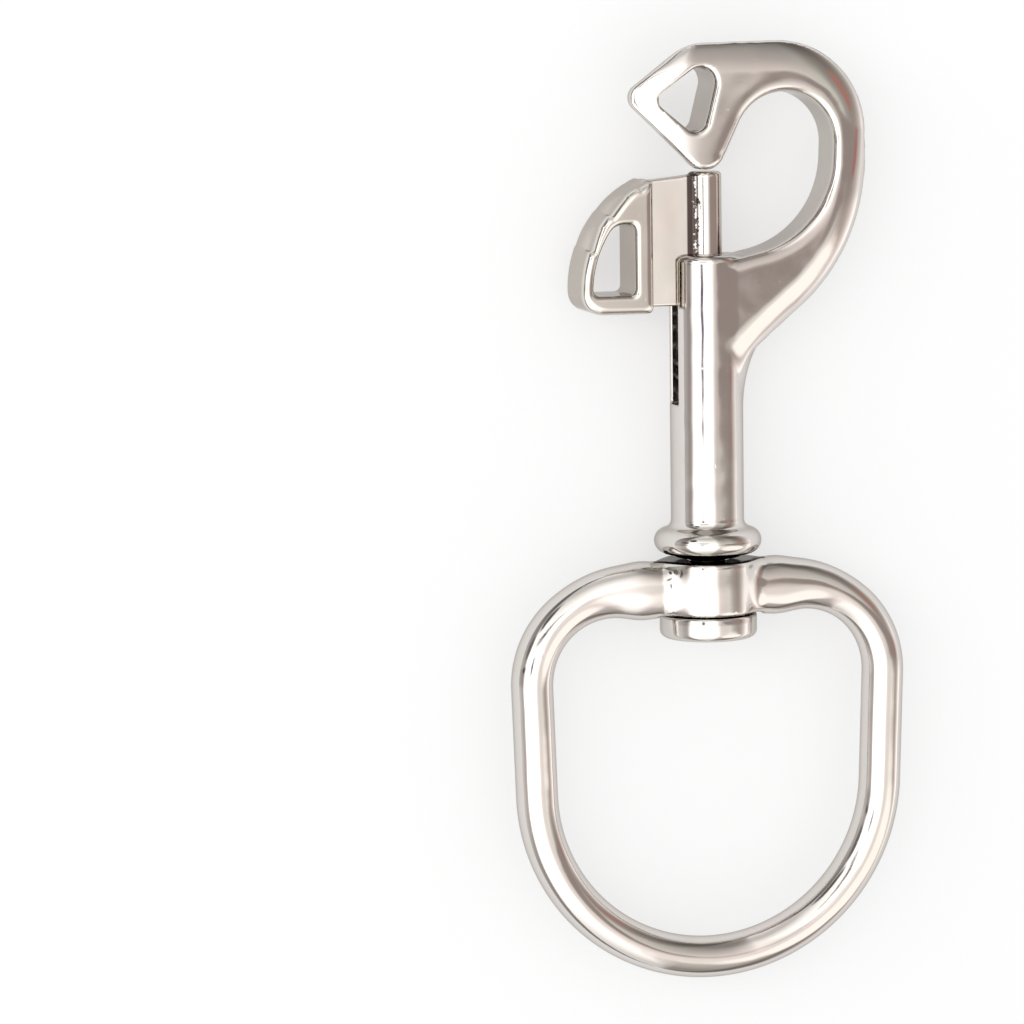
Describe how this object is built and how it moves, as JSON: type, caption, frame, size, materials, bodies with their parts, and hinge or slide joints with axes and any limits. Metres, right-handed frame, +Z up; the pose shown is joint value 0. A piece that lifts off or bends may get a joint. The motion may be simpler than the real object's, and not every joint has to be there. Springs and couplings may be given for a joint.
{
  "type": "swivel snap hook",
  "caption": "Plated cast snap hook with a slotted barrel, a spring-loaded thumb bolt that closes the bow, and a wide belt eye that swivels on a rivet.",
  "frame": {"origin": "middle of the outline in plan, at the level of the table under the barrel's bead", "axes": "+Y along the barrel from the belt eye to the hook, -X towards the thumb piece, +Z up from the table"},
  "size_m": [0.0486, 0.112, 0.0128],
  "materials": {
    "plated_zinc": "bright nickel plating over a polished die casting",
    "plated_steel": "bright nickel plating on a turned rivet",
    "spring_steel": "drawn spring wire"
  },
  "bodies": {
    "hook": {"hook_body": "plated_zinc", "spring": "spring_steel", "swivel_rivet": "plated_steel"},
    "thumb_bolt": {"bolt": "plated_zinc"},
    "eye": {"swivel_eye": "plated_zinc"}
  },
  "joints": [
    {"name": "bolt_slide", "type": "slide", "parent": "hook", "child": "thumb_bolt", "axis": [0, -1, 0], "range_m": [0, 0.0105], "stiffness_N_per_m": 300, "springref_m": -0.01, "deforming": ["spring"]},
    {"name": "eye_swivel", "type": "hinge", "parent": "hook", "child": "eye", "pos_m": [0, -0.00845, 0.0064], "axis": [0, 1, 0], "continuous": true}
  ]
}
